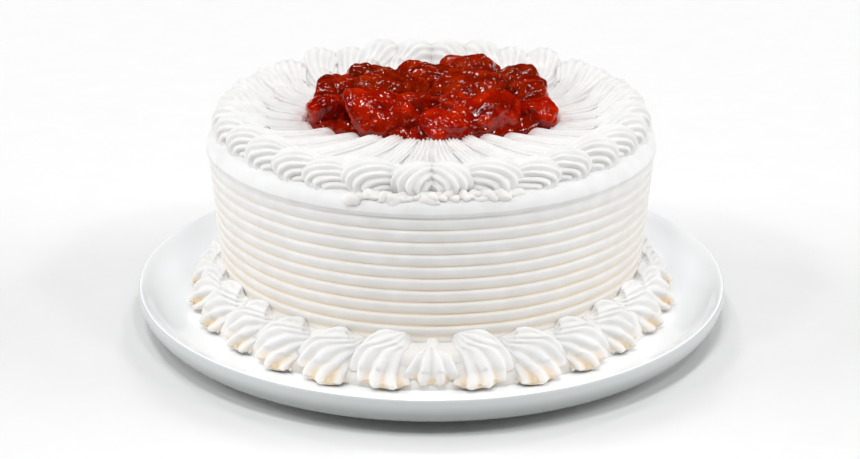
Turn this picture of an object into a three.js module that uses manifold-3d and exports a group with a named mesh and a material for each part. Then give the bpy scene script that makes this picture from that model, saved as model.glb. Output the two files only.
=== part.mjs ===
// A strawberry cream cake on a wide, low white plate: combed cream wall, a ring of piped shells
// round the top, a second piped border round the foot, and glazed strawberry pieces in the middle.
//
// Millimetres, +Z up. The origin lies on the table, under the middle of the plate's foot ring.
// Azimuths are degrees round the cake: 0 is the front (-Y), +90 the right (+X), 180 the back.
// The piping runs towards the front from both sides, so the cake is a mirror image about X = 0.

import * as THREE from "three";
import * as BufferGeometryUtils from "three/addons/utils/BufferGeometryUtils.js";
import Module from "manifold-3d";

const wasm = await Module();
wasm.setup();

// ---- Driving dimensions ----

const GAP = 0.3;                  // clearance between pieces that touch

const PLATE_RADIUS = 137;         // outside of the rim
const PLATE_HEIGHT = 18.8;        // table to rim
const WELL_TOP = 9.5;             // table to the flat that the cake stands on
const WELL_RADIUS = 114;
const FOOT_OUTER = 95;
const FOOT_INNER = 87;
const PLATE_SIDES = 32;

const CAKE_RADIUS = 102;          // across the ribs, at the top groove
const CAKE_HEIGHT = 80.6;
const WALL_LEAN = 0.074;          // the wall leans out by this much for each millimetre of height
const TOP_GROOVE = 72.4;          // height of the first groove above the plate
const COMB_PITCH = 5.46;
const COMB_DEPTH = 1.6;
const GROOVES = 11;
const SHOULDER_RADIUS = 4;
const CAKE_SIDES = 32;

const TOP_SHELLS = 32;            // piped shells round the top
const SHELL_OUTER = 101;          // radius that their heads reach
const SHELL_HEIGHT = 12;          // of a head, at the back; front heads are a little lower
const SHELL_NECK = 28;            // from the heel to where the tail begins
const SHELL_RIDGES = 6;
const SHELL_TWIST = 9;            // degrees that a shell turns towards the front, heel to tail
const HEEL_LAG = 4;               // degrees that its heel lies behind its own azimuth
const FLUTE_DEPTH = 0.16;         // of the grooves between its ridges, as a share of its size

const FOOT_SHELLS = 28;           // piped shells round the foot
const FOOT_REACH = 113;           // radius of their tips
const FOOT_LOBES = 5;             // lobes of one shell
const FOOT_TOP = 14;              // how far up the wall they climb
const FOOT_SLANT = 5;             // degrees that a lobe turns towards the front as it climbs

const TOPPING_RADIUS = 58.5;      // of the strawberry heap
const TOPPING_FRONT = 38.5;       // its front has two straight sides, this far from the middle
const TOPPING_CORNER = 27;        // azimuth that each of them faces
const GLAZE_EDGE = 3.5;           // height of the glaze at its rim
const GLAZE_CROWN = 5.5;          // and in the middle
const HEAP_HEIGHT = 40;           // room over the glaze, clear above the highest piece
const GLAZE_FLOOR = 1.2;          // glaze left under every strawberry piece
const GLAZE_SIDES = 24;
const BERRY_SQUARENESS = 2.6;     // 2 is an ellipsoid; above that the pieces are blockier

const CAKE_TOP = WELL_TOP + CAKE_HEIGHT;

// One strawberry piece: where it lies, how high its middle is above the cake, its half sizes along
// its own length, width and height, how far it is turned and tipped, and how much it narrows.
const STRAWBERRIES = [
  { x: -24, y: -18, lift: 8.5, half: [18.5, 15.5, 10.5], turn: -27, tip: -8, narrow: 0.25 },
  { x: 5, y: -28, lift: 7, half: [13.5, 12, 9], turn: 8, tip: -4, narrow: 0.15 },
  { x: 24.5, y: -18, lift: 8.5, half: [18.5, 15.5, 10.5], turn: 207, tip: -8, narrow: 0.25 },
  { x: -48, y: -6.5, lift: 6.5, half: [10, 9.5, 8], turn: 80, tip: 0, narrow: 0.1 },
  { x: 48, y: -6.5, lift: 6.5, half: [10, 9.5, 8], turn: 100, tip: 0, narrow: 0.1 },
  { x: -45, y: 17, lift: 8, half: [13, 12, 9.5], turn: 60, tip: 8, narrow: 0.2 },
  { x: 45, y: 17, lift: 8, half: [13, 12, 9.5], turn: 120, tip: 8, narrow: 0.2 },
  { x: -9, y: -3, lift: 7, half: [12, 9.5, 8], turn: 35, tip: 0, narrow: 0.2 },
  { x: 12, y: -3, lift: 7.5, half: [11, 9.5, 8], turn: 160, tip: 5, narrow: 0.2 },
  { x: 17, y: 15, lift: 10, half: [17, 14, 9.5], turn: -20, tip: 10, narrow: 0.3 },
  { x: -17, y: 16, lift: 9.5, half: [18, 14, 9.5], turn: 25, tip: -8, narrow: 0.3 },
  { x: 2, y: 35, lift: 10, half: [15, 13, 9.5], turn: -10, tip: 12, narrow: 0.3 },
  { x: -30, y: 34, lift: 8.5, half: [15, 13, 9.5], turn: 150, tip: 6, narrow: 0.25 },
  { x: -4, y: 47, lift: 8, half: [13, 10, 8], turn: 15, tip: -6, narrow: 0.3 },
  { x: 21, y: 45, lift: 11.5, half: [16, 13, 9.5], turn: 160, tip: 12, narrow: 0.3 },
  { x: 38, y: 34, lift: 8.5, half: [15, 13, 9.5], turn: 130, tip: -8, narrow: 0.25 },
];

// ---- Materials ----

function material(color, roughness) {
  return new THREE.MeshStandardMaterial({ color, roughness, metalness: 0 });
}

const PORCELAIN = material(0xf6f6f4, 0.12);
const CREAM = material(0xf4f1ec, 0.6);
const GLAZE = material(0x7a0f08, 0.1);
const STRAWBERRY = material(0xb4180c, 0.15);

// ---- Small tools ----

const { degToRad, lerp, smoothstep } = THREE.MathUtils;

// The point at a radius, an azimuth and a height.
function polar(radius, azimuth, z) {
  const angle = degToRad(azimuth);
  return new THREE.Vector3(radius * Math.sin(angle), -radius * Math.cos(angle), z);
}

// The radius of the cake's wall at a height above the plate, across the ribs.
function wallRadius(height) {
  return CAKE_RADIUS - WALL_LEAN * (TOP_GROOVE - height);
}

// Six times the volume that the triangles enclose, positive when their faces point out.
function signedVolume(points, index) {
  let sum = 0;
  for (let i = 0; i < index.length; i += 3) {
    const [a, b, c] = [points[index[i]], points[index[i + 1]], points[index[i + 2]]];
    sum += a.dot(new THREE.Vector3().crossVectors(b, c));
  }
  return sum;
}

function bodyFrom(points, index) {
  if (signedVolume(points, index) < 0) index.reverse();
  const geometry = new THREE.BufferGeometry();
  geometry.setFromPoints(points);
  geometry.setIndex(index);
  geometry.computeVertexNormals();
  return geometry;
}

// A closed body through loops of equal length. Both ends are drawn in to a point; without
// points, the last loop joins the first, as in a ring.
function loft(loops, startPoint = null, endPoint = null) {
  const count = loops[0].length;
  const points = loops.flat();
  const index = [];
  const bands = startPoint ? loops.length - 1 : loops.length;
  for (let i = 0; i < bands; i += 1) {
    const here = i * count;
    const next = ((i + 1) % loops.length) * count;
    for (let j = 0; j < count; j += 1) {
      const k = (j + 1) % count;
      index.push(here + j, here + k, next + k);
      index.push(here + j, next + k, next + j);
    }
  }
  if (startPoint) {
    const start = points.push(startPoint) - 1;
    const end = points.push(endPoint) - 1;
    const last = (loops.length - 1) * count;
    for (let j = 0; j < count; j += 1) {
      const k = (j + 1) % count;
      index.push(start, k, j);
      index.push(end, last + j, last + k);
    }
  }
  return bodyFrom(points, index);
}

// A solid of revolution about +Z from [radius, height] pairs that start and end on the axis.
function turned(profile, sides) {
  const points = profile.map(([radius, z]) => new THREE.Vector2(radius, z));
  return new THREE.LatheGeometry(points, sides).rotateX(Math.PI / 2);
}

function toSolid(geometry) {
  const bare = geometry.clone();
  bare.deleteAttribute("normal");
  bare.deleteAttribute("uv");
  const merged = BufferGeometryUtils.mergeVertices(bare);
  return new wasm.Manifold(new wasm.Mesh({
    numProp: 3,
    vertProperties: new Float32Array(merged.attributes.position.array),
    triVerts: new Uint32Array(merged.index.array),
  }));
}

function toGeometry(solid) {
  const mesh = solid.getMesh();
  const geometry = new THREE.BufferGeometry();
  geometry.setAttribute("position", new THREE.BufferAttribute(mesh.vertProperties, 3));
  geometry.setIndex(new THREE.BufferAttribute(mesh.triVerts, 1));
  geometry.computeVertexNormals();
  return geometry;
}

// ---- Plate ----

// A heavy coupe plate: flat well, a short slope up to a rounded rim, a thick outer wall that
// curves in underneath, and a foot ring.
function plateGeometry() {
  const rimOuter = PLATE_RADIUS;
  const rimTop = PLATE_HEIGHT;
  return turned([
    [0, 4],
    [FOOT_INNER - 1, 4],
    [FOOT_INNER, 0],
    [FOOT_OUTER, 0],
    [FOOT_OUTER + 1.5, 3.2],
    [rimOuter - 9, 4.9],
    [rimOuter - 4.5, 6.9],
    [rimOuter - 1.5, 10.2],
    [rimOuter, 14.6],
    [rimOuter, rimTop - 0.9],
    [rimOuter - 0.9, rimTop],
    [rimOuter - 2.4, rimTop - 0.3],
    [rimOuter - 8, WELL_TOP + 3.6],
    [WELL_RADIUS + 7, WELL_TOP + 1],
    [WELL_RADIUS, WELL_TOP],
    [0, WELL_TOP],
  ], PLATE_SIDES);
}

// ---- Cake ----

// The wall between its foot and the shoulder: below each groove a rib swells out.
function combedWall() {
  const wall = [];
  for (let i = GROOVES - 1; i >= 0; i -= 1) {
    const groove = TOP_GROOVE - i * COMB_PITCH;
    wall.push([wallRadius(groove - 0.4 * COMB_PITCH), groove - 0.4 * COMB_PITCH]);
    wall.push([wallRadius(groove) - COMB_DEPTH, groove]);
    wall.push([wallRadius(groove + 0.22 * COMB_PITCH) - 0.3, groove + 0.22 * COMB_PITCH]);
  }
  return wall;
}

// One uncut solid, from the plate to its flat top, with a rounded shoulder.
function cakeGeometry() {
  const edge = wallRadius(CAKE_HEIGHT);
  const shoulder = [];
  for (const turn of [0, 30, 60, 90]) {
    const angle = degToRad(turn);
    shoulder.push([
      edge - SHOULDER_RADIUS * (1 - Math.cos(angle)),
      CAKE_HEIGHT - SHOULDER_RADIUS * (1 - Math.sin(angle)),
    ]);
  }
  const profile = [[0, 0], [wallRadius(0), 0], ...combedWall(), ...shoulder, [0, CAKE_HEIGHT]];
  return turned(profile.map(([radius, z]) => [radius, z + WELL_TOP]), CAKE_SIDES);
}

// ---- Strawberry heap ----

// The heap's outline: round, with two straight sides that meet in the middle of the front.
function toppingRadius(azimuth) {
  const sharpness = 16;
  let sum = TOPPING_RADIUS ** -sharpness;
  for (const facing of [-TOPPING_CORNER, TOPPING_CORNER]) {
    const ahead = Math.max(0, Math.cos(degToRad(azimuth - facing)));
    sum += (ahead / TOPPING_FRONT) ** sharpness;
  }
  return sum ** (-1 / sharpness);
}

// A flat-bottomed body over the heap's outline, from rings of { reach, z }: how much of the
// outline each takes up, and its height above the cake.
function overOutline(rings, crownHeight, sides) {
  const loops = rings.map(({ reach, z }) => {
    const loop = [];
    for (let i = 0; i < sides; i += 1) {
      const azimuth = 180 - (360 * i) / sides;
      loop.push(polar(reach * toppingRadius(azimuth), azimuth, CAKE_TOP + z));
    }
    return loop;
  });
  const floor = new THREE.Vector3(0, 0, CAKE_TOP + rings[0].z);
  const crown = new THREE.Vector3(0, 0, CAKE_TOP + crownHeight);
  return loft(loops, floor, crown);
}

// The bed of glaze, flat underneath and slightly domed on top.
function glazeGeometry() {
  return overOutline([
    { reach: 1, z: 0 },
    { reach: 1, z: 0.6 * GLAZE_EDGE },
    { reach: 0.95, z: GLAZE_EDGE },
  ], GLAZE_CROWN, GLAZE_SIDES);
}

// How wide a piece is at a place along it, from -1 to 1, as a share of its widest.
function strawberryTaper(narrow, along) {
  return 1 - narrow * (0.5 + 0.5 * along);
}

// A piece of strawberry: a blunt lump that narrows along its length. Grown by some clearance it
// also cuts what lies round it.
function strawberryGeometry({ x, y, lift, half, turn, tip, narrow }, clearance = 0) {
  const geometry = new THREE.IcosahedronGeometry(1, 1);
  const place = geometry.attributes.position;
  for (let i = 0; i < place.count; i += 1) {
    const ball = [place.getX(i), place.getY(i), place.getZ(i)];
    const size = ball.reduce((sum, part) => sum + Math.abs(part) ** BERRY_SQUARENESS, 0);
    const [along, across, up] = ball.map((part) => part * size ** (-1 / BERRY_SQUARENESS));
    const taper = strawberryTaper(narrow, along);
    place.setXYZ(
      i,
      along * (half[0] + clearance),
      across * taper * (half[1] + clearance),
      up * Math.sqrt(taper) * (half[2] + clearance),
    );
  }
  geometry.rotateY(-degToRad(tip));
  geometry.rotateZ(degToRad(turn));
  geometry.translate(x, y, CAKE_TOP + lift);
  return geometry;
}

// The hollow in the glaze that a piece lies in: its outline, straight down to the glaze floor.
function pocketGeometry({ x, y, half, turn, narrow }) {
  const sides = 10;
  const slack = 1.1;
  const outline = [];
  for (let i = 0; i < sides; i += 1) {
    const angle = (2 * Math.PI * i) / sides;
    const taper = strawberryTaper(narrow, Math.cos(angle));
    outline.push(new THREE.Vector3(
      slack * (half[0] + GAP) * Math.cos(angle),
      slack * (half[1] + GAP) * taper * Math.sin(angle),
      0,
    ));
  }
  const raised = (points, z) => points.map((point) => point.clone().setZ(z));
  const low = CAKE_TOP + GLAZE_FLOOR - GAP;
  const high = CAKE_TOP + HEAP_HEIGHT;
  const middle = new THREE.Vector3();
  return loft(
    [raised(outline, low), raised(outline, high)],
    middle.clone().setZ(low),
    middle.clone().setZ(high),
  ).rotateZ(degToRad(turn)).translate(x, y, 0);
}

// The strawberry pieces, each cut back where an earlier one lies, and the glaze cut round them.
function heapGeometries() {
  const inside = 1 - GAP / TOPPING_FRONT;
  const room = toSolid(overOutline([
    { reach: inside, z: GLAZE_FLOOR },
    { reach: inside, z: HEAP_HEIGHT },
  ], HEAP_HEIGHT, GLAZE_SIDES));
  const pieces = [];
  let taken = null;
  let glaze = toSolid(glazeGeometry());
  for (const berry of STRAWBERRIES) {
    const piece = toSolid(strawberryGeometry(berry)).intersect(room);
    pieces.push(toGeometry(taken ? piece.subtract(taken) : piece));
    const grown = toSolid(strawberryGeometry(berry, GAP));
    taken = taken ? taken.add(grown) : grown;
    glaze = glaze.subtract(toSolid(pocketGeometry(berry)));
  }
  return { pieces, glaze: toGeometry(glaze) };
}

// ---- Piped shells round the top ----

// A section of a shell lies so far in from its heel, and then a share of the rest of the way to
// the strawberries. This is its radius at an azimuth.
function sectionRadius({ inward, tail }, azimuth) {
  return lerp(SHELL_OUTER - inward, toppingRadius(azimuth) + 2 * GAP, tail);
}

// How far round from the front the middle of a section lies: a shell turns towards the front.
function shellMiddle(azimuth, { inward, tail }) {
  const share = lerp(inward / (SHELL_OUTER - TOPPING_RADIUS), 1, tail);
  return Math.abs(azimuth) + HEEL_LAG - SHELL_TWIST * share;
}

// The two edges of a section, half way to the neighbours. The first shell of each side starts at
// the line in the middle of the front, and the last one ends at the line at the back.
function shellEdges(azimuth, section) {
  const half = 180 / TOP_SHELLS;
  const middle = shellMiddle(azimuth, section);
  const isFirst = Math.abs(azimuth) < 2 * half;
  const isLast = Math.abs(azimuth) > 180 - 2 * half;
  return {
    near: isFirst ? 0 : middle - half,
    far: isLast ? 180 : middle + half,
  };
}

// One cross-section: a fluted arch from one edge to the other, standing on the cake's top.
function shellSection(azimuth, section) {
  const { near, far } = shellEdges(azimuth, section);
  const middle = (near + far) / 2;
  const clearance = (THREE.MathUtils.RAD2DEG * GAP) / sectionRadius(section, middle);
  const room = (far - near) / 2 - clearance;
  const steps = 2 * SHELL_RIDGES;
  const loop = [];
  for (let i = 0; i <= steps; i += 1) {
    const angle = (Math.PI * i) / steps;
    const flute = i % 2 === 1 || i === 0 || i === steps ? 1 : 1 - FLUTE_DEPTH;
    const round = middle - Math.cos(angle) * room * section.width * flute;
    const z = CAKE_TOP + section.height * Math.sin(angle) * flute;
    loop.push(polar(sectionRadius(section, round), Math.sign(azimuth) * round, z));
  }
  return loop;
}

// The point that a section is drawn in to, on the line of another section just beyond it.
function endPoint(loop, beyond) {
  const middle = loop.reduce((sum, point) => sum.add(point), new THREE.Vector3())
    .divideScalar(loop.length);
  const azimuth = THREE.MathUtils.radToDeg(Math.atan2(middle.x, -middle.y));
  return polar(sectionRadius(beyond, azimuth), azimuth, lerp(CAKE_TOP, middle.z, 0.7));
}

// A shell: a blunt heel at the cake's edge, a fat head, and a long tail that runs down to the
// strawberries.
function topShellGeometry(azimuth) {
  const head = SHELL_HEIGHT * lerp(0.86, 1, smoothstep(Math.abs(azimuth), 40, 150));
  const sections = [
    { inward: 0.8, tail: 0, width: 0.74, height: 0.5 * head },
    { inward: 6, tail: 0, width: 1, height: 0.95 * head },
    { inward: 16, tail: 0, width: 1, height: 0.92 * head },
    { inward: SHELL_NECK, tail: 0, width: 1, height: 0.5 * head },
    { inward: SHELL_NECK, tail: 0.94, width: 1, height: 0.32 * head },
  ];
  const loops = sections.map((section) => shellSection(azimuth, section));
  const heel = endPoint(loops[0], { inward: 0, tail: 0 });
  const tailEnd = endPoint(loops.at(-1), { inward: SHELL_NECK, tail: 1 });
  return loft(loops, heel, tailEnd);
}

// ---- Piped border round the foot ----

// How far out the border stands at an azimuth: each shell is a rounded fan of lobes.
function footReach(azimuth, lobe) {
  const pitch = 360 / FOOT_SHELLS;
  const across = (((azimuth / pitch + 0.5) % 1) + 1) % 1;
  const fan = Math.sqrt(Math.max(0, 1 - (2 * across - 1) ** 2));
  return { fan, reach: FOOT_REACH - 7 * (1 - fan) - (lobe ? 0 : 2.6) };
}

// A ring of such fans, in one solid: it leans on the wall and lies on the plate.
function footBorderGeometry() {
  const steps = FOOT_SHELLS * FOOT_LOBES * 2;
  const loops = [];
  for (let i = 0; i < steps; i += 1) {
    const azimuth = (360 * (i + 0.5)) / steps - 180;
    const { fan, reach } = footReach(azimuth, i % 2 === 0);
    const ahead = azimuth < 0 ? 1 : -1;
    const fade = smoothstep(Math.abs(azimuth), 0, 14) * (1 - smoothstep(Math.abs(azimuth), 166, 180));
    const slant = ahead * fade * FOOT_SLANT;
    const crown = FOOT_TOP - 3 * (1 - fan);
    const wallFoot = wallRadius(0) + GAP;
    const wallTop = wallRadius(crown) + GAP;
    loops.push([
      polar(wallFoot, azimuth, WELL_TOP),
      polar(wallTop, azimuth + slant, WELL_TOP + crown),
      polar(lerp(wallTop, reach, 0.42), azimuth + 0.6 * slant, WELL_TOP + 0.86 * crown),
      polar(reach, azimuth, WELL_TOP + 0.42 * crown),
      polar(reach - 2.2, azimuth, WELL_TOP),
    ]);
  }
  return loft(loops);
}

// ---- Assembly ----

const cakeOnPlate = new THREE.Group();
const cake = new THREE.Group();
const heap = new THREE.Group();
cakeOnPlate.add(cake);
cake.add(heap);

function add(group, name, geometry, surface) {
  const mesh = new THREE.Mesh(geometry, surface);
  mesh.name = name;
  group.add(mesh);
}

const number = (i) => String(i + 1).padStart(2, "0");

add(cakeOnPlate, "plate", plateGeometry(), PORCELAIN);
add(cake, "cake", cakeGeometry(), CREAM);
add(cake, "foot_border", footBorderGeometry(), CREAM);

for (let i = 0; i < TOP_SHELLS; i += 1) {
  const azimuth = (360 * (i + 0.5)) / TOP_SHELLS - 180;
  add(cake, `top_shell_${number(i)}`, topShellGeometry(azimuth), CREAM);
}

const { pieces, glaze } = heapGeometries();
add(heap, "glaze", glaze, GLAZE);
pieces.forEach((piece, i) => add(heap, `strawberry_${number(i)}`, piece, STRAWBERRY));

export default cakeOnPlate;
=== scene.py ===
"""A strawberry cream cake on a wide, low white plate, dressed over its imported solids.

Metres, +Z up. The origin lies on the table, under the middle of the plate. Azimuths are degrees
round the cake: 0 is the front (-Y), 90 the right (+X), 180 the back. The piping runs towards the
front from both sides, so the two halves mirror each other about X = 0.
"""

import math
import random

import bpy
import numpy as np
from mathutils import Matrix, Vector, noise


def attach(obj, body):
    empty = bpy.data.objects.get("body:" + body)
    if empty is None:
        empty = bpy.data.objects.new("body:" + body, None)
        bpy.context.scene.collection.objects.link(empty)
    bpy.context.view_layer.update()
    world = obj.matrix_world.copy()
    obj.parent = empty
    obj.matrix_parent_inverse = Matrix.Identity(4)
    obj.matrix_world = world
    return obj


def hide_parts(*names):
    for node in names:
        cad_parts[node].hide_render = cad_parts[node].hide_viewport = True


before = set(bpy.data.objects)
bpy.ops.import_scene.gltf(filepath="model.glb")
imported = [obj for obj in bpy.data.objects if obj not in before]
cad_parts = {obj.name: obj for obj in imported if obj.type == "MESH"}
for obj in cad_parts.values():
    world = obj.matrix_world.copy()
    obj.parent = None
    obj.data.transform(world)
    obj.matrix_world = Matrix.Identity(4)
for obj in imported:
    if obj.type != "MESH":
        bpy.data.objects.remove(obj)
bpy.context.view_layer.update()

# ---- Driving dimensions, in metres ----

MM = 0.001

PLATE_RADIUS = 0.137
PLATE_HEIGHT = 0.0188
PLATE_UNDERSIDE = 0.004          # table to the plain underside inside the foot ring
FOOT_RING_INNER = 0.087
FOOT_RING_OUTER = 0.095
WELL_TOP = 0.0095                # table to the flat that the cake stands on
WELL_RADIUS = 0.114

CAKE_RADIUS = 0.102              # across the ribs, at the top groove
CAKE_HEIGHT = 0.0806
WALL_LEAN = 0.074                # how much the wall's radius grows with its height
TOP_GROOVE = 0.0724              # height of the first groove over the plate
COMB_PITCH = 0.00546
COMB_DEPTH = 0.0013
GROOVES = 11
SHOULDER_RADIUS = 0.0065
SHOULDER_START = 0.0965          # radius from which the shells sink over the shoulder
CAKE_TOP = WELL_TOP + CAKE_HEIGHT

TOP_SHELLS = 32
TOP_RIDGES = 10                  # ridges of one top shell, as its star nozzle leaves them
HEAD_RADIUS = 0.0885             # where the middle of a head lies
HEAD_REACH = 0.0132              # from a head's middle to its heel, and to its neck
HEAD_TURN_FRONT = 74             # degrees that a head points back from straight out, in front
HEAD_TURN_BACK = 34              # and from the sides to the back
HEAD_HEIGHT = 0.0118             # in front
HEAD_RISE = 0.36                 # share by which the heads behind are higher
HEAD_ROUND = 0.55                # how steeply a head falls off to its sides: 1 is an open arch
MIDDLE_PAIR = 0.9                # size of the two heads that meet in the middle of the front
TAIL_DRIFT_FRONT = 17            # degrees that a tail runs towards the middle of the front
TAIL_DRIFT_BACK = 8              # and from the sides to the back
PAST_MIDDLE = 0.0008             # how far a shell reaches over the middle of the front

BED_RADIUS = 0.091               # outer edge of the low bed under the tails
BED_RISE = [                     # share of the way out from the heap, and millimetres high there
    (0, 0),
    (0.06, 1.8),
    (0.12, 2.8),
    (0.3, 3.4),
    (0.6, 4.2),
    (0.85, 4.2),
    (1, 0),
]
DABS = 19                        # small dabs of cream under the heads in front
DAB_RADIUS = 0.0975
DAB_PITCH = 2                    # degrees from one dab to the next

FOOT_SHELLS = 28
FOOT_RIDGES = 6
FOOT_TURN = 70                   # degrees that a foot shell points along the foot, at the sides
FOOT_TURN_FRONT = 42             # and in front
FOOT_RADIUS = 0.104              # where the shells' places round the foot are measured
FOOT_GROUND = [                  # radius and height of the corner that its shells lie in
    (0.0973, 0.0225),
    (0.0976, 0.014),
    (0.104, 0.0075),
    (0.11, 0.0014),
    (0.13, 0.0008),
]
FOOT_BED = [                     # radius and height of the cream between and behind them
    (0.0965, 0.0165),
    (0.1005, 0.0155),
    (0.1045, 0.0125),
    (0.1085, 0.006),
    (0.1105, 0.0),
]

RIDGE_POINTS = 8                 # points of the mesh across one ridge of piping

TOPPING_RADIUS = 0.0585
TOPPING_FRONT = 0.0385           # its front has two straight sides, this far from the middle
TOPPING_CORNER = 27              # azimuth that each of them faces

# One strawberry piece: place, height of its middle over the cake, half sizes, turn, tip, taper
# and how ripe and bright it is, from 0 to 1. Millimetres and degrees.
STRAWBERRIES = [
    (-24, -18, 8.5, (18.5, 15.5, 10.5), -27, -8, 0.25, 0.85),
    (5, -28, 7, (13.5, 12, 9), 8, -4, 0.15, 1.0),
    (24.5, -18, 8.5, (18.5, 15.5, 10.5), 207, -8, 0.25, 0.85),
    (-48, -6.5, 6.5, (10, 9.5, 8), 80, 0, 0.1, 1.0),
    (48, -6.5, 6.5, (10, 9.5, 8), 100, 0, 0.1, 1.0),
    (-45, 17, 8, (13, 12, 9.5), 60, 8, 0.2, 0.45),
    (45, 17, 8, (13, 12, 9.5), 120, 8, 0.2, 0.45),
    (-9, -3, 7, (12, 9.5, 8), 35, 0, 0.2, 0.6),
    (12, -3, 7.5, (11, 9.5, 8), 160, 5, 0.2, 0.7),
    (17, 15, 10, (17, 14, 9.5), -20, 10, 0.3, 0.3),
    (-17, 16, 9.5, (18, 14, 9.5), 25, -8, 0.3, 0.2),
    (2, 35, 10, (15, 13, 9.5), -10, 12, 0.3, 0.3),
    (-30, 34, 8.5, (15, 13, 9.5), 150, 6, 0.25, 0.05),
    (-4, 47, 8, (13, 10, 8), 15, -6, 0.3, 0.3),
    (21, 45, 11.5, (16, 13, 9.5), 160, 12, 0.3, 0.3),
    (38, 34, 8.5, (15, 13, 9.5), 130, -8, 0.25, 0.1),
]
BERRY_SQUARENESS = 2.6
CHUNK_FLATS = 9                  # flats that the knife and the pan have left on one piece
SWOLLEN = 1.02                   # size of a piece once it has taken up syrup

# ---- Lamps and camera ----

# Lamps that stand in pairs, left and right: azimuth, height over the horizon and spread in
# degrees, power, and whether wet skins mirror them.
PAIRED_LAMPS = {
    "softbox": (94, 22, 40, 1.45, False),
    "sparkle": (28, 56, 7, 0.42, True),
    "spark": (66, 42, 6, 0.28, True),
    "glint": (140, 58, 6, 0.28, True),
}
WINDOW = (-12, 70, 8, 0.74, True)
ROOM_LIGHT = 0.2
FLOOR_HALF = 4.0

CAMERA_PLACE = (-0.0007, -0.7027, 0.3134)
CAMERA_PITCH = 21.42             # degrees down from level
FOCAL_LENGTH = 67.27             # millimetres, as is the sensor's width
SENSOR_WIDTH = 36

# ---- Colour and material ----


def linear(hex_colour):
    """The linear colour of an sRGB hex value."""
    parts = [int(hex_colour[i:i + 2], 16) / 255 for i in (0, 2, 4)]
    curve = [p / 12.92 if p <= 0.04045 else ((p + 0.055) / 1.055) ** 2.4 for p in parts]
    return (*curve, 1.0)


def add_node(tree, kind, inputs=None, stops=None, **settings):
    """A shader node with its settings, each input set to a value or linked to an output."""
    made = tree.nodes.new(kind)
    for name, value in settings.items():
        setattr(made, name, value)
    for name, value in (inputs or {}).items():
        if isinstance(value, bpy.types.NodeSocket):
            tree.links.new(value, made.inputs[name])
        else:
            made.inputs[name].default_value = value
    if stops:
        ramp = made.color_ramp
        ramp.elements[0].position, ramp.elements[0].color = stops[0][0], stops[0][1]
        ramp.elements[1].position, ramp.elements[1].color = stops[-1][0], stops[-1][1]
        for position, colour in stops[1:-1]:
            ramp.elements.new(position).color = colour
    return made


def new_material(name):
    """An empty material, its node tree, and a place for its surface."""
    made = bpy.data.materials.new(name)
    made.use_nodes = True
    tree = made.node_tree
    tree.nodes.clear()
    return made, tree


def finish_material(tree, shader):
    """Makes the shader the material's surface."""
    add_node(tree, "ShaderNodeOutputMaterial", {"Surface": shader.outputs["BSDF"]})


def whipped_cream():
    """Whipped dairy cream, piped and combed: matt, white, a little light passing under its skin.

    Painted shade, a beige tint, lies down in its furrows and low on it, and its skin has the fine
    grain of beaten air.
    """
    made, tree = new_material("whipped_cream")
    place = add_node(tree, "ShaderNodeTexCoord").outputs["Object"]
    # Painted shade: a beige tint in the furrows and low down on the cream.
    warmth = add_node(tree, "ShaderNodeAttribute", attribute_name="warmth").outputs["Fac"]
    stain = add_node(tree, "ShaderNodeAttribute", attribute_name="stain").outputs["Fac"]
    mottle = add_node(tree, "ShaderNodeTexNoise", {"Vector": place, "Scale": 1 / (9 * MM)})
    base = add_node(
        tree, "ShaderNodeValToRGB", {"Fac": mottle.outputs["Fac"]},
        stops=[(0.3, linear("E3E3E3")), (0.7, linear("EAEAEA"))],
    )
    warm_shaded = add_node(
        tree, "ShaderNodeMix",
        {0: warmth, 6: base.outputs["Color"], 7: linear("EAD5B3")}, data_type="RGBA",
    )
    stained = add_node(
        tree, "ShaderNodeMix",
        {0: stain, 6: warm_shaded.outputs[2], 7: linear("DDB0AE")}, data_type="RGBA",
    )
    fine = add_node(
        tree, "ShaderNodeTexNoise", {"Vector": place, "Scale": 1 / (0.9 * MM), "Detail": 3.0},
    )
    grain = add_node(
        tree, "ShaderNodeBump",
        {"Height": fine.outputs["Fac"], "Strength": 0.25, "Distance": 0.12 * MM},
    )
    shader = add_node(
        tree, "ShaderNodeBsdfPrincipled",
        {
            "Base Color": stained.outputs[2],
            "Roughness": 0.5,
            "IOR": 1.4,
            "Subsurface Weight": 0.25,
            "Subsurface Radius": (1.0, 0.85, 0.7),
            "Subsurface Scale": 0.7 * MM,
            "Specular IOR Level": 0.4,
            "Normal": grain.outputs["Normal"],
        },
    )
    finish_material(tree, shader)
    return made


def glazed_porcelain():
    """Hard porcelain, white all through, under a clear fired glaze: cool, smooth and glossy."""
    made, tree = new_material("glazed_porcelain")
    place = add_node(tree, "ShaderNodeTexCoord").outputs["Object"]
    cloud = add_node(tree, "ShaderNodeTexNoise", {"Vector": place, "Scale": 1 / (45 * MM)})
    body = add_node(
        tree, "ShaderNodeValToRGB", {"Fac": cloud.outputs["Fac"]},
        stops=[(0.3, linear("F8FBFE")), (0.7, linear("FBFDFF"))],
    )
    # Painted shade greys the rim's outer face, most of all low down.
    outside = add_node(tree, "ShaderNodeAttribute", attribute_name="outside").outputs["Fac"]
    shaded = add_node(
        tree, "ShaderNodeMix",
        {0: outside, 6: body.outputs["Color"], 7: linear("9CA2A0")}, data_type="RGBA",
    )
    wave = add_node(
        tree, "ShaderNodeBump",
        {"Height": cloud.outputs["Fac"], "Strength": 0.15, "Distance": 1 * MM},
    )
    shader = add_node(
        tree, "ShaderNodeBsdfPrincipled",
        {
            "Base Color": shaded.outputs[2],
            "Roughness": 0.16,
            "IOR": 1.5,
            "Specular IOR Level": 0.3,
            "Coat Weight": 0.1,
            "Coat Roughness": 0.05,
            "Normal": wave.outputs["Normal"],
        },
    )
    finish_material(tree, shader)
    return made


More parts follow.
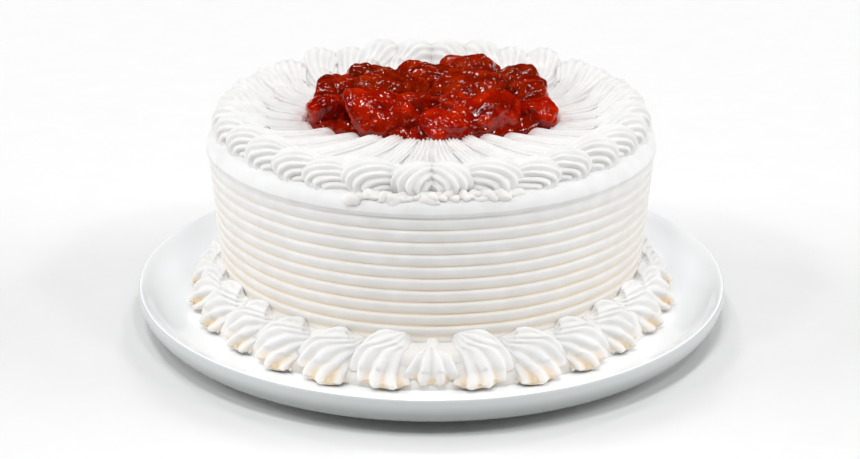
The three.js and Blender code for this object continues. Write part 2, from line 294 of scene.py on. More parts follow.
def stewed_strawberry():
    """Strawberry flesh softened in syrup: deep clear red, wet, streaked, with some pale seeds."""
    made, tree = new_material("stewed_strawberry")
    place = add_node(tree, "ShaderNodeTexCoord").outputs["Object"]
    ripeness = add_node(tree, "ShaderNodeAttribute", attribute_name="ripeness").outputs["Fac"]
    depth = add_node(tree, "ShaderNodeAttribute", attribute_name="depth").outputs["Fac"]
    blotch = add_node(
        tree, "ShaderNodeTexNoise",
        {"Vector": place, "Scale": 1 / (9 * MM), "Detail": 4.0, "Distortion": 0.6},
    )
    bright = add_node(
        tree, "ShaderNodeValToRGB", {"Fac": blotch.outputs["Fac"]},
        stops=[(0.3, linear("740A02")), (0.5, linear("9C1202")), (0.7, linear("C22403"))],
    )
    dull = add_node(
        tree, "ShaderNodeValToRGB", {"Fac": blotch.outputs["Fac"]},
        stops=[(0.3, linear("520E03")), (0.5, linear("761703")), (0.7, linear("962805"))],
    )
    flesh = add_node(
        tree, "ShaderNodeMix",
        {0: ripeness, 6: dull.outputs["Color"], 7: bright.outputs["Color"]}, data_type="RGBA",
    )
    # Painted shade: depth darkens the flesh towards the bottom of each piece and in its creases.
    shaded_flesh = add_node(
        tree, "ShaderNodeMix",
        {0: depth, 6: flesh.outputs[2], 7: linear("420602")}, data_type="RGBA",
    )
    cell = add_node(
        tree, "ShaderNodeTexVoronoi", {"Vector": place, "Scale": 1 / (4.2 * MM)},
    )
    seed = add_node(
        tree, "ShaderNodeValToRGB", {"Fac": cell.outputs["Distance"]},
        stops=[(0.07, linear("FFFFFF")), (0.1, linear("000000"))],
    )
    seeded = add_node(
        tree, "ShaderNodeMix",
        {0: seed.outputs["Color"], 6: shaded_flesh.outputs[2], 7: linear("B4561E")}, data_type="RGBA",
    )
    ripple = add_node(
        tree, "ShaderNodeTexNoise",
        {"Vector": place, "Scale": 1 / (3.2 * MM), "Detail": 2.0, "Distortion": 0.3},
    )
    swell = add_node(
        tree, "ShaderNodeBump",
        {"Height": ripple.outputs["Fac"], "Strength": 0.9, "Distance": 0.5 * MM},
    )
    pulp = add_node(
        tree, "ShaderNodeTexNoise", {"Vector": place, "Scale": 1 / (1.3 * MM), "Detail": 1.0},
    )
    wet = add_node(
        tree, "ShaderNodeBump",
        {
            "Height": pulp.outputs["Fac"], "Strength": 0.2, "Distance": 0.25 * MM,
            "Normal": swell.outputs["Normal"],
        },
    )
    shader = add_node(
        tree, "ShaderNodeBsdfPrincipled",
        {
            "Base Color": seeded.outputs[2],
            "Roughness": 0.5,
            "Specular IOR Level": 0.0,
            "IOR": 1.4,
            "Subsurface Weight": 0.25,
            "Subsurface Radius": (1.0, 0.15, 0.05),
            "Subsurface Scale": 1.5 * MM,
            "Coat Weight": 1.0,
            "Coat Roughness": 0.03,
            "Coat IOR": 1.45,
            "Normal": wet.outputs["Normal"],
            "Coat Normal": wet.outputs["Normal"],
        },
    )
    finish_material(tree, shader)
    return made


def fruit_glaze():
    """Boiled strawberry juice set with starch: a thick, dark, clear jelly with a glassy skin."""
    made, tree = new_material("fruit_glaze")
    place = add_node(tree, "ShaderNodeTexCoord").outputs["Object"]
    cloud = add_node(
        tree, "ShaderNodeTexNoise", {"Vector": place, "Scale": 1 / (6 * MM), "Detail": 3.0},
    )
    body = add_node(
        tree, "ShaderNodeValToRGB", {"Fac": cloud.outputs["Fac"]},
        stops=[(0.3, linear("4C0903")), (0.5, linear("7E1103")), (0.7, linear("A41D04"))],
    )
    ripple = add_node(
        tree, "ShaderNodeTexNoise", {"Vector": place, "Scale": 1 / (2.6 * MM), "Detail": 2.0},
    )
    wet = add_node(
        tree, "ShaderNodeBump",
        {"Height": ripple.outputs["Fac"], "Strength": 0.5, "Distance": 0.7 * MM},
    )
    shader = add_node(
        tree, "ShaderNodeBsdfPrincipled",
        {
            "Base Color": body.outputs["Color"],
            "Roughness": 0.5,
            "Specular IOR Level": 0.0,
            "IOR": 1.4,
            "Coat Weight": 1.0,
            "Coat Roughness": 0.04,
            "Normal": wet.outputs["Normal"],
            "Coat Normal": wet.outputs["Normal"],
        },
    )
    finish_material(tree, shader)
    return made


def backdrop_paper():
    """Seamless pale studio paper: matt, with barely any grain."""
    made, tree = new_material("backdrop_paper")
    place = add_node(tree, "ShaderNodeTexCoord").outputs["Object"]
    fibre = add_node(tree, "ShaderNodeTexNoise", {"Vector": place, "Scale": 40.0})
    tone = add_node(
        tree, "ShaderNodeValToRGB", {"Fac": fibre.outputs["Fac"]},
        stops=[(0.0, linear("E5E5E5")), (1.0, linear("E9E9E9"))],
    )
    shader = add_node(
        tree, "ShaderNodeBsdfPrincipled", {"Base Color": tone.outputs["Color"], "Roughness": 0.9},
    )
    finish_material(tree, shader)
    return made


# ---- Small tools for shapes ----


def smooth(value, low, high):
    """0 below low, 1 above high, and an even curve between."""
    share = np.clip((np.asarray(value, float) - low) / (high - low), 0, 1)
    return share * share * (3 - 2 * share)


def bumps(points, size, seed=0):
    """Smooth noise from -1 to 1 at each point, with bumps of that size."""
    shift = Vector((7.3 * seed, 3.1 * seed, 5.7 * seed))
    flat = points.reshape(-1, 3)
    values = [noise.noise(Vector(point) / size + shift) for point in flat]
    return np.array(values).reshape(points.shape[:-1])


def pulpy(points, size, seed=0):
    """Round lumps of that size with sharp creases between them, from about -0.4 to 1."""
    return 2 * np.abs(bumps(points, size, seed)) - 0.4


def wobble(points, amount, size, seed):
    """A smooth random move of each point, in bumps of that size."""
    return amount * np.stack([bumps(points, size, seed + k) for k in range(3)], axis=-1)


def polar(radius, azimuth):
    """The point in plan at a radius and an azimuth, in degrees."""
    angle = np.radians(azimuth)
    return np.stack([radius * np.sin(angle), -radius * np.cos(angle)], axis=-1)


def grid_normals(grid):
    """The unit normal at each point of a grid."""
    normal = np.cross(np.gradient(grid, axis=0), np.gradient(grid, axis=1))
    length = np.linalg.norm(normal, axis=2, keepdims=True)
    return normal / np.maximum(length, 1e-12)


def wall_radius(height):
    """The radius of the cake's wall at a height over the plate, across the ribs."""
    return CAKE_RADIUS - WALL_LEAN * (TOP_GROOVE - height)


def rounded(profile, rounds=3):
    """The profile with its corners cut again and again, so that they turn in a curve."""
    points = np.array(profile, float)
    for _ in range(rounds):
        start, end = points[:-1], points[1:]
        cut = np.stack([0.75 * start + 0.25 * end, 0.25 * start + 0.75 * end], axis=1)
        points = np.concatenate([points[:1], cut.reshape(-1, 2), points[-1:]])
    return points


def grid_faces(rows, columns, wrap):
    """The quads of a grid. With wrap, its last column joins the first."""
    faces = []
    for i in range(rows - 1):
        for j in range(columns if wrap else columns - 1):
            k = (j + 1) % columns
            faces.append((
                i * columns + j,
                i * columns + k,
                (i + 1) * columns + k,
                (i + 1) * columns + j,
            ))
    return faces


def flipped(faces):
    """The same faces, turned over."""
    return [face[::-1] for face in faces]


def joined(parts):
    """One array of points and one list of faces, from several pairs of them."""
    points, faces, first = [], [], 0
    for part_points, part_faces in parts:
        faces += [tuple(first + corner for corner in face) for face in part_faces]
        points.append(part_points)
        first += len(part_points)
    return np.concatenate(points), faces


def ball_mesh(rounds):
    """The points and triangles of a unit ball."""
    bpy.ops.mesh.primitive_ico_sphere_add(subdivisions=rounds, radius=1)
    ball = bpy.context.object
    points = np.array([vertex.co[:] for vertex in ball.data.vertices])
    faces = [tuple(polygon.vertices) for polygon in ball.data.polygons]
    bpy.data.objects.remove(ball)
    return points, faces


def piece(name, points, faces, surface, slot, replaced, **marks):
    """A smooth mesh that stands for CAD nodes, with a value at each point for every mark."""
    mesh = bpy.data.meshes.new(name)
    mesh.from_pydata([tuple(point) for point in points], [], faces)
    mesh.shade_smooth()
    for mark, values in marks.items():
        mesh.attributes.new(mark, "FLOAT", "POINT").data.foreach_set(
            "value", np.asarray(values, np.float32).ravel())
    mesh.materials.append(surface)
    made = bpy.data.objects.new(name, mesh)
    bpy.context.scene.collection.objects.link(made)
    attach(made, "root")
    if replaced:
        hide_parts(*replaced)
    return made


# ---- Plate ----


def turned(profile, sides):
    """The grid of a surface of revolution about Z from (radius, height) pairs."""
    azimuth = np.arange(sides) * 360 / sides
    plan = polar(profile[:, :1], azimuth[None, :])
    height = np.repeat(profile[:, 1:], sides, axis=1)
    return np.concatenate([plan, height[..., None]], axis=2)


def make_plate(surface):
    """The heavy coupe plate, with every corner rounded under its glaze.

    The rim's outer face is greyed with painted shade, most of all low down.
    """
    rim = PLATE_RADIUS
    underside = [
        (0.0, PLATE_UNDERSIDE),
        (FOOT_RING_INNER - 0.001, PLATE_UNDERSIDE),
        (FOOT_RING_INNER, 0.0),
        (FOOT_RING_OUTER, 0.0),
        (FOOT_RING_OUTER + 0.0015, 0.0032),
        (rim - 0.009, 0.0049),
    ]
    upright = [
        (rim - 0.0045, 0.0069),
        (rim - 0.0015, 0.0102),
        (rim, 0.0146),
        (rim, PLATE_HEIGHT - 0.0009),
        (rim - 0.0009, PLATE_HEIGHT + 0.0001),
        (rim - 0.0024, PLATE_HEIGHT - 0.0003),
    ]
    dish = [
        (rim - 0.008, WELL_TOP + 0.0036),
        (WELL_RADIUS + 0.007, WELL_TOP + 0.001),
        (WELL_RADIUS, WELL_TOP),
        (0.0, WELL_TOP),
    ]
    profile = rounded(underside + upright + dish)
    grid = turned(profile, 240)
    crest = int(np.argmax(profile[:, 1]))
    radius = np.hypot(grid[..., 0], grid[..., 1])
    # Painted shade: grey on the rim's outer face, most of all low down, none on top.
    outside = 0.62 + 0.38 * (1 - smooth(grid[..., 2], 0.009, 0.0165))
    outside *= 0.3 + 0.7 * smooth(radius, 0.1, 0.125)
    outside[crest - 3:] = 0
    piece(
        "plate_porcelain", grid.reshape(-1, 3), grid_faces(*grid.shape[:2], wrap=True),
        surface, "porcelain", ["plate"], outside=outside,
    )


# ---- Cake ----


def comb_depth(height, shift):
    """How far the comb has pressed the wall in at a height.

    Each rib swells out at once under the groove above it, then draws in slowly to the next.
    """
    below = (TOP_GROOVE + shift - height) / COMB_PITCH
    share = below - np.floor(below)
    fullest = 0.22
    swelling = np.sin(np.clip(share / fullest, 0, 1) * np.pi / 2)
    drawing_in = np.cos(np.clip((share - fullest) / (1 - fullest), 0, 1) * np.pi / 2) ** 0.8
    combed = smooth(below, -0.3, 0.0) * (1 - smooth(below, GROOVES - 1.3, GROOVES - 0.7))
    lightly_at_first = 0.6 + 0.4 * smooth(below, 0.2, 1.2)
    return COMB_DEPTH * (1 - swelling * drawing_in) * combed * lightly_at_first


def cake_profile():
    """Radius and height over the plate, from the middle of the bottom to the middle of the top."""
    edge = wall_radius(CAKE_HEIGHT)
    wall = [(wall_radius(z), z) for z in np.linspace(0, CAKE_HEIGHT - SHOULDER_RADIUS, 150)]
    shoulder = []
    for turn in np.radians(np.linspace(0, 90, 12)):
        radius = edge - SHOULDER_RADIUS * (1 - math.cos(turn))
        height = CAKE_HEIGHT - SHOULDER_RADIUS * (1 - math.sin(turn))
        shoulder.append((radius, height))
    top = [(radius, CAKE_HEIGHT) for radius in (0.094, 0.09, 0.08, 0.06, 0.0)]
    return np.array([(0.0, 0.0), *wall, *shoulder, *top])


def make_cake(surface):
    """The cream coat: a combed wall, a soft shoulder with slight ripples, and the flat top."""
    grid = turned(cake_profile(), 320)
    height = grid[..., 2].copy()
    radius = np.hypot(grid[..., 0], grid[..., 1])
    round_wall = np.stack([grid[..., 0], grid[..., 1], 0 * height], axis=-1)
    sway = 0.35 * MM * bumps(round_wall, 38 * MM, 1) + 0.15 * MM * bumps(grid, 9 * MM, 2)
    press = comb_depth(height, sway)
    near_wall = smooth(radius, 0.085, 0.095)
    swell = 0.5 * MM * bumps(round_wall, 30 * MM, 3)
    ripple = 0.3 * MM * bumps(round_wall, 4.5 * MM, 4) * smooth(height, 0.062, 0.078)
    move = near_wall * (swell + ripple) - press
    scale = 1 + move / np.maximum(radius, 1e-6)
    grid[..., 0] *= scale
    grid[..., 1] *= scale
    grid[..., 2] += WELL_TOP + 0.4 * MM * bumps(grid, 11 * MM, 5) * smooth(height, 0.076, 0.08)
    # Painted shade: a beige tint in the comb's grooves, less of it high up, and more low on the
    # wall.
    warmth = 0.6 * (press / COMB_DEPTH) * (1 - 0.5 * smooth(height, 0.02, 0.075))
    warmth += 0.16 * (1 - smooth(height, 0.0, 0.06))
    piece(
        "cake_cream", grid.reshape(-1, 3), grid_faces(*grid.shape[:2], wrap=True),
        surface, "cream", ["cake"], warmth=warmth, stain=0 * warmth,
    )


# ---- Piped shells ----


def evenly(line, count):
    """Points at even distances along a line."""
    steps = np.linalg.norm(np.diff(line, axis=0), axis=1)
    passed = np.concatenate([[0], np.cumsum(steps)])
    wanted = np.linspace(0, passed[-1], count)
    return np.column_stack([np.interp(wanted, passed, line[:, k]) for k in range(3)])


def fluted(grid, ridges, depth, full_pitch, seed):
    """The grid with a star nozzle's grooves pressed in along its rows, and how deep each point is.

    Ridges narrower than the full pitch have shallower grooves, and the heel's end has none. The
    grooves wander a little and are deeper in some places, as soft cream takes them.
    """
    wander = 0.02 * bumps(grid, 12 * MM, seed)
    across = np.clip(np.linspace(0, 1, grid.shape[1]) + wander, 0, 1)
    sharp_groove = 1 - np.abs(np.sin(np.pi * ridges * across))
    open_groove = 0.5 + 0.5 * np.cos(2 * np.pi * ridges * across)
    away_from_sides = 1 - 0.7 * np.abs(2 * across - 1) ** 8
    groove = (0.5 * sharp_groove + 0.5 * open_groove) * away_from_sides
    groove *= 1 + 0.4 * bumps(grid, 7 * MM, seed + 1)
    pitch = np.linalg.norm(np.diff(grid, axis=1), axis=2).sum(axis=1) / ridges
    rows = np.linspace(0, 1, grid.shape[0])
    depth = depth * np.minimum(1, pitch / full_pitch) * (1 - smooth(rows, 0.93, 1.0))
    pressed = grid - grid_normals(grid) * (depth[:, None] * groove)[..., None]
    return pressed, groove


def shell_lines(tail_end, neck, heading, size):
    """The grid of a piped shell before its grooves, lying on a flat ground.

    Its rows run across, from the end of the tail to the heel; its columns are the lines that
    the nozzle draws. size gives half the width of the tail's end and of the neck, the heights of
    the tail's end, the neck and the head, and the head's length. bend says how far the tail runs
    straight on from the neck. fan and curl are how many degrees the head's lines spread apart
    and bend sideways, blunt how much shorter both its sides are, and skew how much shorter one
    of them is than the other. tail_round is for the tail what HEAD_ROUND is for the head.
    """
    side = np.linspace(-1, 1, 121)
    dome = 1 - np.abs(side) ** 2.4
    bend = neck - heading * size["bend"]
    rows = []
    for t in np.linspace(0, 1, 20):
        centre = (1 - t) ** 2 * tail_end + 2 * t * (1 - t) * bend + t * t * neck
        ahead = 2 * (1 - t) * (bend - tail_end) + 2 * t * (neck - bend)
        ahead = ahead / np.linalg.norm(ahead)
        across = np.array([-ahead[1], ahead[0]])
        width = size["end_width"] + (size["neck_width"] - size["end_width"]) * t
        height = size["end_height"] + (size["neck_height"] - size["end_height"]) * t ** 1.5
        if t == 0:
            height = 0.0
        plan = centre + across * (side * width)[:, None]
        rows.append(np.column_stack([plan, dome ** size["tail_round"] * height]))
    across = np.array([-heading[1], heading[0]])
    start = neck + across * (side * size["neck_width"])[:, None]
    reach = size["head_length"] * (1 - size["blunt"] * side ** 2 - 0.25 * side ** 8)
    reach = reach * (1 - size["skew"] * (0.5 + 0.5 * side))

    def along_line(x):
        """The points a share x along the head's lines, which curl sideways as they go."""
        turn = np.radians(size["fan"] * side + size["curl"] * (x - 0.5))
        line = heading * np.cos(turn)[:, None] + across * np.sin(turn)[:, None]
        return start + line * (reach * x)[:, None]

    for x in np.linspace(0.08, 0.5, 8):
        share = float(smooth(x, 0, 0.5))
        height = size["neck_height"] + (size["head_height"] - size["neck_height"]) * share
        bulge = size["tail_round"] + (HEAD_ROUND - size["tail_round"]) * share
        rows.append(np.column_stack([along_line(x), dome ** bulge * height]))
    heel = 0.36
    for turn in np.radians(np.linspace(80, -45, 15)):
        x = 0.5 + 0.5 * math.cos(turn)
        height = size["head_height"] * (heel + (1 - heel) * math.sin(turn))
        height = max(height, -1 * MM)
        rows.append(np.column_stack([along_line(x), dome ** HEAD_ROUND * height]))
    return np.array([evenly(row, RIDGE_POINTS * size["ridges"] + 1) for row in rows])


def topping_radius(azimuth):
    """The heap's outline: round, with two straight sides that meet in the middle of the front."""
    sharpness = 16
    total = TOPPING_RADIUS ** -sharpness
    for facing in (-TOPPING_CORNER, TOPPING_CORNER):
        ahead = np.maximum(np.cos(np.radians(azimuth - facing)), 0)
        total = total + (ahead / TOPPING_FRONT) ** sharpness
    return total ** (-1 / sharpness)


def top_shell_lines(place, at_back, chance):
    """The grid of a top shell before its grooves, in the right half, on a flat ground.

    place is its azimuth. Each one differs a little in place, turn, height and length, as a hand
    pipes it. With the grid go the azimuths where its head and the end of its tail lie.
    """
    head = HEAD_HEIGHT * (1 + HEAD_RISE * at_back) * chance.uniform(0.88, 1.1)
    scale = MIDDLE_PAIR if place < 10 else 1
    crowding = 2 * (1 - float(smooth(place, 5, 30)))
    place = place + chance.uniform(-1.2, 1.2) - crowding
    to_side = float(smooth(place, 25, 85))
    off_middle = float(smooth(place, -8, 30))
    turned_back = HEAD_TURN_FRONT + (HEAD_TURN_BACK - HEAD_TURN_FRONT) * to_side
    turned_back *= 0.4 + 0.6 * off_middle
    drift = TAIL_DRIFT_FRONT + (TAIL_DRIFT_BACK - TAIL_DRIFT_FRONT) * to_side
    drift *= off_middle
    turn = np.radians(turned_back + chance.uniform(-10, 10))
    outward = np.array([math.sin(math.radians(place)), -math.cos(math.radians(place))])
    backward = np.array([-outward[1], outward[0]])
    heading = math.cos(turn) * outward + math.sin(turn) * backward
    centre = polar(HEAD_RADIUS + chance.uniform(-0.8, 0.8) * MM, place)
    neck = centre - heading * HEAD_REACH
    end_place = place - drift + chance.uniform(-1, 1)
    at_front = 1 - float(smooth(end_place, 25, 55))
    inner = float(topping_radius(end_place)) - (2.5 + 3 * at_front) * MM
    tail_end = polar(inner, end_place)
    size = {
        "ridges": TOP_RIDGES,
        "bend": 6 * MM,
        "end_width": (1.35 + 0.35 * at_front) * math.pi * inner / TOP_SHELLS,
        "neck_width": 8.8 * MM * scale,
        "head_length": 2 * HEAD_REACH * scale * chance.uniform(0.95, 1.05),
        "head_height": head * scale,
        "neck_height": 0.65 * head,
        "end_height": (4.3 + 1.7 * at_front) * MM,
        "tail_round": HEAD_ROUND,
        "fan": 12,
        "curl": 14,
        "blunt": 0.3,
        "skew": 0,
    }
    return shell_lines(tail_end, neck, heading, size), place, end_place


def over_shoulder(grid):
    """The grid laid on the cake's top, and sunk where the shoulder rounds over into the wall."""
    beyond = np.maximum(np.hypot(grid[..., 0], grid[..., 1]) - SHOULDER_START, 0)
    laid = grid.copy()
    laid[..., 2] += CAKE_TOP - 0.3 * MM - np.minimum(beyond ** 2 / (9 * MM), 3 * MM)
    return laid


def juice_stain(grid, place, end_place):
    """How pink the fruit's juice has made each point: only the end of the tail, at the heap."""
    near_end = 1 - smooth(np.linspace(0, 1, grid.shape[0]), 0.0, 0.16)
    at_side = smooth(place, 55, 75) * (1 - smooth(place, 105, 125))
    blotches = near_end[:, None] * smooth(bumps(grid, 3 * MM, 9), -0.1, 0.5) * at_side
    beside = np.hypot(grid[..., 0], grid[..., 1]) - float(topping_radius(end_place))
    soaked = (1 - smooth(beside, 0.3 * MM, 1.6 * MM)) * smooth(place, 15, 40)
    return 0.6 * np.maximum(blotches, 0.7 * soaked)


def make_top_shell(number, surface):
    """One shell of the top ring: a fat fluted head at the edge, its tail drawn in to the heap."""
    azimuth = 360 * (number + 0.5) / TOP_SHELLS - 180
    side = math.copysign(1, azimuth)
    at_back = float(smooth(abs(azimuth), 40, 150))
    chance = random.Random(int(abs(azimuth) * 10))
    grid, place, end_place = top_shell_lines(abs(azimuth), at_back, chance)
    along = np.linspace(0, 1, grid.shape[0])
    depth = (1.0 + 0.6 * smooth(along, 0.4, 0.6)) * (1 - 0.35 * at_back) * MM
    grid, groove = fluted(grid, TOP_RIDGES, depth, 2 * MM, number)
    grid = over_shoulder(grid)
    grid += wobble(grid, 0.35 * MM, 6 * MM, number + 1)
    stain = juice_stain(grid, place, end_place)
    if place < 90:
        grid[..., 0] = np.maximum(grid[..., 0], -PAST_MIDDLE)
    grid[..., 0] *= side
    faces = grid_faces(*grid.shape[:2], wrap=False)
    # Beige painted shade lies in the grooves.
    piece(
        f"top_shell_cream_{number + 1:02d}", grid.reshape(-1, 3),
        flipped(faces) if side > 0 else faces, surface, "cream",
        [f"top_shell_{number + 1:02d}"], warmth=0.12 * groove, stain=stain,
    )


def middle_tail():
    """The grid of the tail that runs straight in from the middle of the front."""
    size = {
        "ridges": 6,
        "bend": 0,
        "end_width": 5 * MM,
        "neck_width": 7 * MM,
        "head_length": 19 * MM,
        "head_height": 8.6 * MM,
        "neck_height": 8.6 * MM,
        "end_height": 6.4 * MM,
        "tail_round": HEAD_ROUND,
        "fan": 20,
        "curl": 0,
        "blunt": 0.3,
        "skew": 0,
    }
    front = np.array([0.0, -1.0])
    grid = shell_lines(front * (TOPPING_FRONT + 0.5 * MM), front * 77 * MM, front, size)
    depth = (0.6 + 0.9 * smooth(np.linspace(0, 1, len(grid)), 0.5, 0.7)) * MM
    grid, _ = fluted(grid, size["ridges"], depth, 2 * MM, 7)
    return grid + (0, 0, CAKE_TOP - 0.5 * MM)


def top_bed():
    """The grid of the low bed of cream that the tails lie on, lower in front."""
    azimuth = np.arange(360)
    at_front = 1 - smooth(np.minimum(azimuth, 360 - azimuth), 25, 55)
    share, rise = np.array(BED_RISE, float).T[..., None]
    inner = topping_radius(azimuth) + 0.5 * MM
    plan = polar(inner + (BED_RADIUS - inner) * share, azimuth[None, :])
    lift = rise - at_front * np.sin(np.pi * share)
    height = CAKE_TOP - 0.1 * MM + lift * MM
    return np.concatenate([plan, height[..., None]], axis=2)


def cream_dab(number, chance):
    """The points and faces of one small dab in front, as the piping's ends leave them."""
    ball, faces = ball_mesh(3)
    half = [chance.uniform(3, 8), chance.uniform(2, 3.6), chance.uniform(1.2, 2.8)]
    dab = ball * (np.array(half) * MM)
    dab += ball * (0.8 * MM * bumps(dab, 2.6 * MM, 50 + number))[:, None]
    dab += ball * (1.4 * MM * pulpy(dab, 5 * MM, 70 + number))[:, None]
    spin = chance.uniform(-0.5, 0.5)
    x, y = dab[:, 0].copy(), dab[:, 1].copy()
    dab[:, 0] = x * math.cos(spin) - y * math.sin(spin)
    dab[:, 1] = x * math.sin(spin) + y * math.cos(spin)
    place = number * DAB_PITCH + chance.uniform(-0.6, 0.6)
    dab[:, :2] += polar(DAB_RADIUS + chance.uniform(-1, 1) * MM, place)
    dab[:, 2] += CAKE_TOP + chance.uniform(-1.8, 0) * MM
    return dab, faces


def make_top_bed(surface):
    """The bed under the tails, the tail in the middle of the front, and the dabs before it."""
    bed, tail = top_bed(), middle_tail()
    parts = [
        (bed.reshape(-1, 3), grid_faces(*bed.shape[:2], wrap=True)),
        (tail.reshape(-1, 3), flipped(grid_faces(*tail.shape[:2], wrap=False))),
    ]
    chance = random.Random(5)
    for number in range(-(DABS // 2), DABS // 2 + 1):
        parts.append(cream_dab(number, chance))
    points, faces = joined(parts)
    # An even touch of beige painted shade all over.
    piece(
        "top_bed_cream", points, faces, surface, "cream", None,
        warmth=np.full(len(points), 0.1), stain=np.zeros(len(points)),
    )


def onto_foot(grid):
    """Bends a flat grid into the corner of wall and plate.

    X is the way round the foot from the front, Y the way down the wall and out over the plate,
    and Z stands off the ground there.
    """
    ground = rounded(FOOT_GROUND, 3)
    steps = np.diff(ground, axis=0)
    lengths = np.linalg.norm(steps, axis=1)
    passed = np.concatenate([[0], np.cumsum(lengths)])
    slope = np.degrees(np.arctan2(steps[:, 1], steps[:, 0]))
    leaning = np.radians(np.interp(grid[..., 1], (passed[:-1] + passed[1:]) / 2, slope))
    radius = np.interp(grid[..., 1], passed, ground[:, 0]) - np.sin(leaning) * grid[..., 2]
    height = np.interp(grid[..., 1], passed, ground[:, 1]) + np.cos(leaning) * grid[..., 2]
    azimuth = np.degrees(grid[..., 0] / FOOT_RADIUS)
    plan = polar(radius, azimuth)
    height = WELL_TOP + np.maximum(height, 0.1 * MM)
    return np.concatenate([plan, height[..., None]], axis=-1)


def foot_shell(place, chance):
    """One shell of the foot border as a grid, and how much beige painted shade its cream gets at
    each point.

    The ones in the middle of the front and the back are small and point straight out.
    """
    centred = place == 0 or place == 180
    turned_back = FOOT_TURN - (FOOT_TURN - FOOT_TURN_FRONT) * (1 - float(smooth(place, 8, 45)))
    turn = np.radians(0 if centred else turned_back + chance.uniform(-4, 4))
    heading = np.array([math.sin(turn), math.cos(turn)])
    along = math.radians(place) * FOOT_RADIUS
    down = (17 - 4 * float(smooth(place, 25, 75))) * MM
    neck = np.array([along, down]) - heading * (9 if centred else 14.5) * MM
    tail_end = neck + np.array([0 if centred else -3, -3.5]) * MM
    size = {
        "ridges": FOOT_RIDGES,
        "bend": 2.5 * MM,
        "end_width": 1.5 * MM,
        "neck_width": (4 if centred else 8.5) * MM,
        "head_length": (19 if centred else 28) * MM * chance.uniform(0.95, 1.05),
        "head_height": 8 * MM,
        "neck_height": 5 * MM,
        "end_height": 1.5 * MM,
        "tail_round": 1.0,
        "fan": 50 if centred else 24,
        "curl": 0 if centred else 36,
        "blunt": 0.3,
        "skew": 0 if centred else 0.18,
    }
    grid = shell_lines(tail_end, neck, heading, size)
    rows = np.linspace(0, 1, grid.shape[0])
    depth = (0.6 + 2.6 * smooth(rows, 0.4, 0.85)) * MM
    grid, groove = fluted(grid, FOOT_RIDGES, depth, 3 * MM, int(place))
    grid = onto_foot(grid)
    grid += wobble(grid, 0.3 * MM, 5 * MM, 21)
    # Painted shade: beige in the grooves and on the low undersides of the lobes.
    under = 1 - smooth(grid[..., 2] - WELL_TOP, 1 * MM, 10 * MM)
    return grid, np.clip(0.1 * groove + under * (0.15 + groove), 0, 1)


def make_foot_border(surface):
    """The ring of piped shells round the foot, mirrored about the middle of the front."""
    parts, warmth = [], []
    for number in range(FOOT_SHELLS // 2, -1, -1):
        sides = (1,) if number in (0, FOOT_SHELLS // 2) else (1, -1)
        for side in sides:
            grid, warm = foot_shell(number * 360 / FOOT_SHELLS, random.Random(number))
            grid[..., 0] *= side
            faces = grid_faces(*grid.shape[:2], wrap=False)
            parts.append((grid.reshape(-1, 3), faces if side < 0 else flipped(faces)))
            warmth.append(warm.ravel())
    bed = turned(rounded(FOOT_BED, 2) + (0, WELL_TOP), 300)
    bed[1:-1] += wobble(bed[1:-1], 0.9 * MM, 6 * MM, 24)
    parts.append((bed.reshape(-1, 3), flipped(grid_faces(*bed.shape[:2], wrap=True))))
    # An even touch of beige painted shade on the bed between the shells.
    warmth.append(np.full(bed.shape[0] * bed.shape[1], 0.12))
    warmth = np.concatenate(warmth)
    points, faces = joined(parts)
    piece(
        "foot_border_cream", points, faces, surface, "cream",
        ["foot_border"], warmth=warmth, stain=0 * warmth,
    )


# ---- Strawberries ----


def make_glaze(surface):
    """The jelly that fills the heap between the fruit, lumpy on top and drawn down at its edge."""
    reach = np.concatenate([np.linspace(0, 0.9, 46), np.linspace(0.915, 1.0, 8)])
    azimuth = np.arange(200) * 360 / 200
    outline = topping_radius(azimuth)
    plan = polar(reach[:, None] * outline[None, :], azimuth[None, :])
    grid = np.concatenate([plan, np.zeros(plan.shape[:2] + (1,))], axis=2)
    edge = np.sqrt(np.clip(1 - reach ** 12, 0, 1))[:, None]
    level = (7.5 + 2 * (1 - smooth(reach, 0.5, 0.9)))[:, None] * MM
    lumps = level + 3 * MM * bumps(grid, 9 * MM, 31) + 2.2 * MM * pulpy(grid, 5 * MM, 32)
    grid[..., 2] = CAKE_TOP + np.maximum(edge * lumps, 0)
    piece(
        "strawberry_glaze", grid.reshape(-1, 3), grid_faces(len(reach), len(azimuth), wrap=True),
        surface, "glaze", ["glaze"],
    )


def chunk_radius(direction, number):
    """How far a piece of fruit reaches each way: a block with some worn flats cut across it."""
    chance = np.random.default_rng(number)
    across = chance.normal(size=(CHUNK_FLATS, 3)) * (1, 1, 0.8)
    across /= np.linalg.norm(across, axis=1, keepdims=True)
    depth = chance.uniform(0.72, 0.96, CHUNK_FLATS)
    block = (np.abs(direction) ** BERRY_SQUARENESS).sum(axis=1) ** (1 / BERRY_SQUARENESS)
    flats = np.maximum(direction @ across.T, 0) / depth
    sharpness = 12
    reach = block ** sharpness + (flats ** sharpness).sum(axis=1)
    return reach ** (-1 / sharpness)


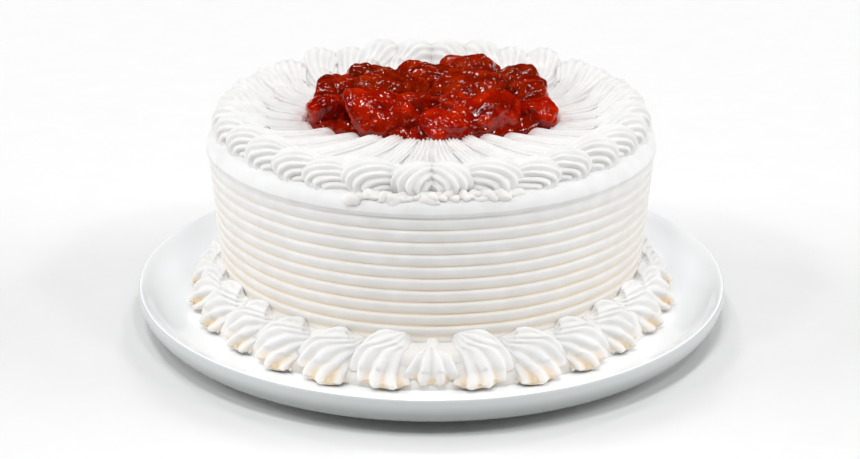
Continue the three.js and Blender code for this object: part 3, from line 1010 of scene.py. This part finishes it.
def make_strawberry(number, surface):
    """One piece of fruit: a blunt tapered lump, softened and creased by stewing."""
    x, y, lift, half, turn, tip, narrow, ripe = STRAWBERRIES[number]
    name = f"strawberry_fruit_{number + 1:02d}"
    place, faces = ball_mesh(6)
    place = place * chunk_radius(place, number)[:, None]
    taper = 1 - narrow * (0.5 + 0.5 * place[:, 0])
    shape = place * np.array(half) * MM
    shape[:, 1] *= taper
    shape[:, 2] *= np.sqrt(taper)
    shape *= SWOLLEN
    out = place / np.array(half)
    out /= np.linalg.norm(out, axis=1, keepdims=True)
    lump = 2.2 * MM * bumps(shape, 13 * MM, 40 + number)
    fold = 1.3 * MM * pulpy(shape, 10 * MM, 60 + number)
    small = 0.5 * MM * pulpy(shape, 4 * MM, 80 + number)
    shape += out * (lump + fold + small)[:, None]
    tilt, spin = math.radians(tip), math.radians(turn)
    along = shape[:, 0] * math.cos(tilt) - shape[:, 2] * math.sin(tilt)
    up = shape[:, 0] * math.sin(tilt) + shape[:, 2] * math.cos(tilt)
    points = np.column_stack([
        x * MM + along * math.cos(spin) - shape[:, 1] * math.sin(spin),
        y * MM + along * math.sin(spin) + shape[:, 1] * math.cos(spin),
        np.maximum(up + lift * MM, 0) + CAKE_TOP,
    ])
    # Painted shade: each piece darkens towards its bottom, and in its creases.
    lit_from = 0.68 * (lift + half[2]) * MM
    low = (1.15 - 0.45 * ripe) * (1 - smooth(points[:, 2] - CAKE_TOP, 1 * MM, lit_from))
    crease_shade = 1 - smooth(fold + 0.6 * small, -0.8 * MM, 0.1 * MM)
    piece(
        name, points, faces, surface, "strawberry", [f"strawberry_{number + 1:02d}"],
        ripeness=np.full(len(points), ripe), depth=np.clip(0.8 * low + 0.35 * crease_shade, 0, 1),
    )


# ---- Studio ----


def make_floor(surface):
    """The sheet of paper that the plate stands on."""
    far = FLOOR_HALF
    mesh = bpy.data.meshes.new("studio_floor")
    corners = [(-far, -far, 0), (far, -far, 0), (far, far, 0), (-far, far, 0)]
    mesh.from_pydata(corners, [], [(0, 1, 2, 3)])
    mesh.materials.append(surface)
    floor = bpy.data.objects.new("studio_floor", mesh)
    bpy.context.scene.collection.objects.link(floor)


def add_lamp(name, azimuth, height, spread, power, mirrored):
    """A far lamp at an azimuth and a height over the horizon, as wide as spread, in degrees.

    A lamp that isn't mirrored is behind a diffusing sheet, so that no wet skin shows its edges.
    """
    light = bpy.data.lights.new(name, "SUN")
    light.angle = math.radians(spread)
    light.energy = power
    made = bpy.data.objects.new(name, light)
    made.rotation_euler = (math.radians(90 - height), 0, math.radians(azimuth))
    made.visible_glossy = mirrored
    bpy.context.scene.collection.objects.link(made)


def light_studio():
    """Lamps at both sides, a window high in front, and a white room that no wet skin mirrors."""
    for side, word in ((-1, "left"), (1, "right")):
        for name, (azimuth, *settings) in PAIRED_LAMPS.items():
            add_lamp(f"{name}_{word}", azimuth * side, *settings)
    add_lamp("window", *WINDOW)
    world = bpy.data.worlds.new("studio")
    world.use_nodes = True
    sky = world.node_tree.nodes["Background"]
    sky.inputs["Color"].default_value = linear("FFFFFF")
    sky.inputs["Strength"].default_value = ROOM_LIGHT
    world.cycles_visibility.glossy = False
    bpy.context.scene.world = world


def place_camera():
    """The photograph's view: far off, looking down with a long lens."""
    lens = bpy.data.cameras.new("camera")
    lens.sensor_width = SENSOR_WIDTH
    lens.lens = FOCAL_LENGTH
    camera = bpy.data.objects.new("camera", lens)
    camera.location = CAMERA_PLACE
    camera.rotation_euler = (math.radians(90 - CAMERA_PITCH), 0, 0)
    bpy.context.scene.collection.objects.link(camera)
    bpy.context.scene.camera = camera


# ---- Making ----

place_camera()
light_studio()
bpy.context.scene.view_settings.view_transform = "Standard"

cream = whipped_cream()
make_floor(backdrop_paper())
make_plate(glazed_porcelain())
make_cake(cream)
make_foot_border(cream)
for i in range(TOP_SHELLS):
    make_top_shell(i, cream)
make_top_bed(cream)
make_glaze(fruit_glaze())
flesh = stewed_strawberry()
for i in range(len(STRAWBERRIES)):
    make_strawberry(i, flesh)
